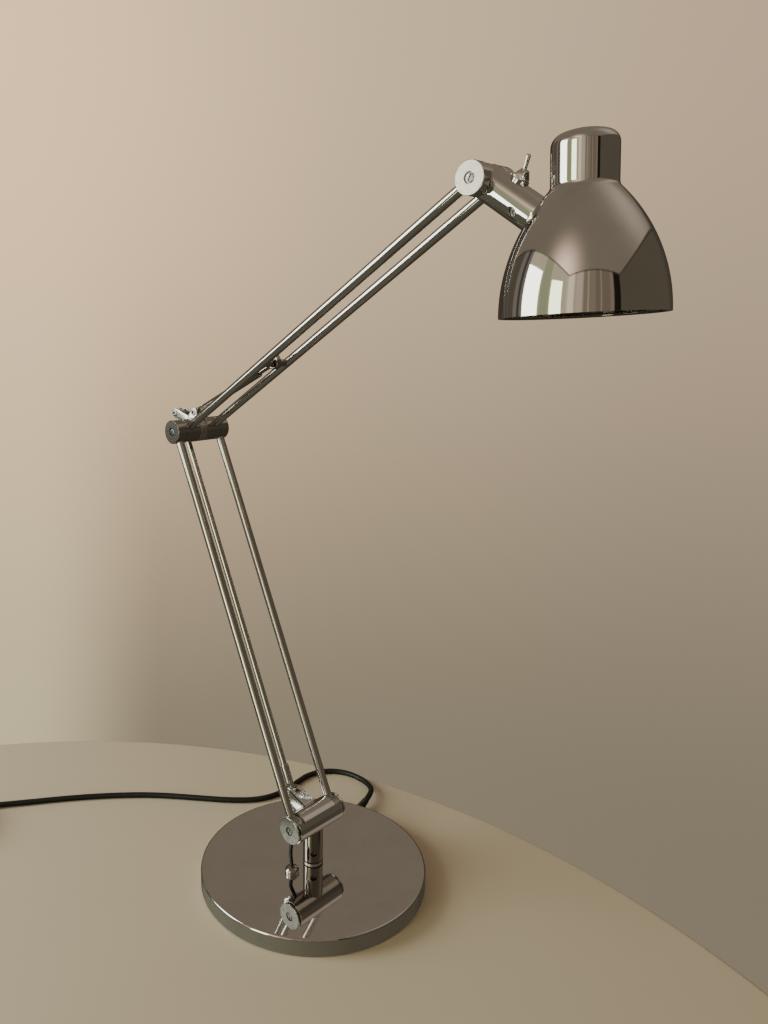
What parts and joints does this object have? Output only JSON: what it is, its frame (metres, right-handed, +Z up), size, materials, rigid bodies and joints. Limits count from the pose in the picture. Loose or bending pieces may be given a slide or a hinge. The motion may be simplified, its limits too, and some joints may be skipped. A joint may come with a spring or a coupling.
{
  "type": "adjustable desk lamp",
  "caption": "Desk lamp on a round weighted base, with jointed twin-rod arms, a parallel link, a telescopic strut and a tilting bell-shaped metal shade with a toggle switch.",
  "frame": {"origin": "middle of the base on its underside", "axes": "+Z up, +X forward in the plane that the arms fold in, Y along the arm pivots"},
  "size_m": [0.6579, 0.4311, 0.598],
  "materials": {
    "chrome": "mirror chrome plating on steel",
    "satin_steel": "turned satin steel",
    "screw_steel": "dark oiled steel",
    "cast_weight": "raw cast iron",
    "pad": "matt felt-faced rubber",
    "washer": "plain",
    "black_plastic": "satin moulded",
    "cord": "smooth sheath",
    "tie": "hook-and-loop strap",
    "plug_brass": "plated brass",
    "holder": "moulded",
    "bulb": "frosted",
    "bulb_metal": "plated"
  },
  "bodies": {
    "base": {"base_cover": "chrome", "base_weight": "cast_weight", "base_pad": "pad", "spigot": "satin_steel", "spigot_nut": "satin_steel", "swivel_washer": "washer", "cable_gland": "chrome", "cord_bush": "black_plastic", "mains_cord": "cord", "cord_coil": "cord", "coil_tie": "tie", "plug_body": "black_plastic", "plug_pins": "plug_brass", "jumper_lead": "cord"},
    "shoulder": {"shoulder_post": "chrome", "shoulder_tube": "chrome", "post_set_screw": "screw_steel", "link_bracket": "chrome", "bracket_pin": "satin_steel"},
    "lower_arm": {"shoulder_hub_near": "satin_steel", "shoulder_hub_far": "satin_steel", "shoulder_cap_near": "satin_steel", "shoulder_cap_far": "satin_steel", "lower_cap_screws": "screw_steel", "shoulder_axle": "satin_steel", "lower_rod_near": "chrome", "lower_rod_far": "chrome", "elbow_outer_knuckle_near": "chrome", "elbow_outer_knuckle_far": "chrome", "elbow_axle": "satin_steel"},
    "link": {"link_rod": "chrome", "link_end_lower": "chrome", "link_end_upper": "chrome"},
    "elbow_yoke": {"elbow_ring": "chrome", "elbow_bracket": "chrome", "yoke_pins": "satin_steel"},
    "upper_arm": {"elbow_inner_knuckle_near": "chrome", "elbow_inner_knuckle_far": "chrome", "knuckle_set_screws": "screw_steel", "upper_rod_near": "chrome", "upper_rod_far": "chrome", "crossbar": "chrome", "head_knuckle_near": "chrome", "head_knuckle_far": "chrome", "head_cap_screws": "screw_steel", "head_axle": "satin_steel"},
    "strut": {"strut_tube": "chrome"},
    "strut_plunger": {"strut_rod": "chrome"},
    "head": {"head_stem": "chrome", "stem_screw": "screw_steel", "stem_nipple": "satin_steel", "nipple_nut": "satin_steel", "switch_nut": "chrome", "shade_bell": "chrome", "lampholder": "holder", "bulb_cap": "bulb_metal", "bulb_glass": "bulb"},
    "lever": {"switch_lever": "chrome"}
  },
  "joints": [
    {"name": "base_swivel", "type": "hinge", "parent": "base", "child": "shoulder", "pos_m": [0, 0, 0.0265], "axis": [0, 0, 1], "range_deg": [-60, 60], "deforming": ["jumper_lead"]},
    {"name": "lower_arm_tilt", "type": "hinge", "parent": "shoulder", "child": "lower_arm", "pos_m": [0, 0, 0.0575], "axis": [0, 1, 0], "range_deg": [-5, 45]},
    {"name": "link_tilt", "type": "hinge", "parent": "shoulder", "child": "link", "pos_m": [-0.0265, 0, 0.0715], "axis": [0, 1, 0], "range_deg": [-5.3, 45.3]},
    {"name": "elbow_level", "type": "hinge", "parent": "lower_arm", "child": "elbow_yoke", "pos_m": [-0.15294, 0, 0.39001], "axis": [0, 1, 0], "range_deg": [-45.3, 5.3]},
    {"name": "upper_arm_tilt", "type": "hinge", "parent": "elbow_yoke", "child": "upper_arm", "pos_m": [-0.15294, 0, 0.39001], "axis": [0, -1, 0], "range_deg": [-40, 25]},
    {"name": "strut_tilt", "type": "hinge", "parent": "elbow_yoke", "child": "strut", "pos_m": [-0.15074, 0, 0.40661], "axis": [0, -1, 0], "range_deg": [-42.6, 26.8]},
    {"name": "strut_slide", "type": "slide", "parent": "strut", "child": "strut_plunger", "axis": [0.9074, 0, 0.4203], "range_m": [-0.0066, 0.0105]},
    {"name": "head_tilt", "type": "hinge", "parent": "upper_arm", "child": "head", "pos_m": [0.15058, 0, 0.57529], "axis": [0, -1, 0], "range_deg": [-50, 70]},
    {"name": "switch_toggle", "type": "hinge", "parent": "head", "child": "lever", "pos_m": [0.17679, 0, 0.57597], "axis": [0, 1, 0], "range_deg": [0, 34]}
  ],
  "couplings": [
    {"joint": "link_tilt", "follows": "lower_arm_tilt", "ratio": 1},
    {"joint": "elbow_level", "follows": "lower_arm_tilt", "ratio": -1},
    {"joint": "strut_tilt", "follows": "upper_arm_tilt", "ratio": 1.0546},
    {"joint": "strut_slide", "follows": "upper_arm_tilt", "m_per_rad": -0.014458}
  ]
}
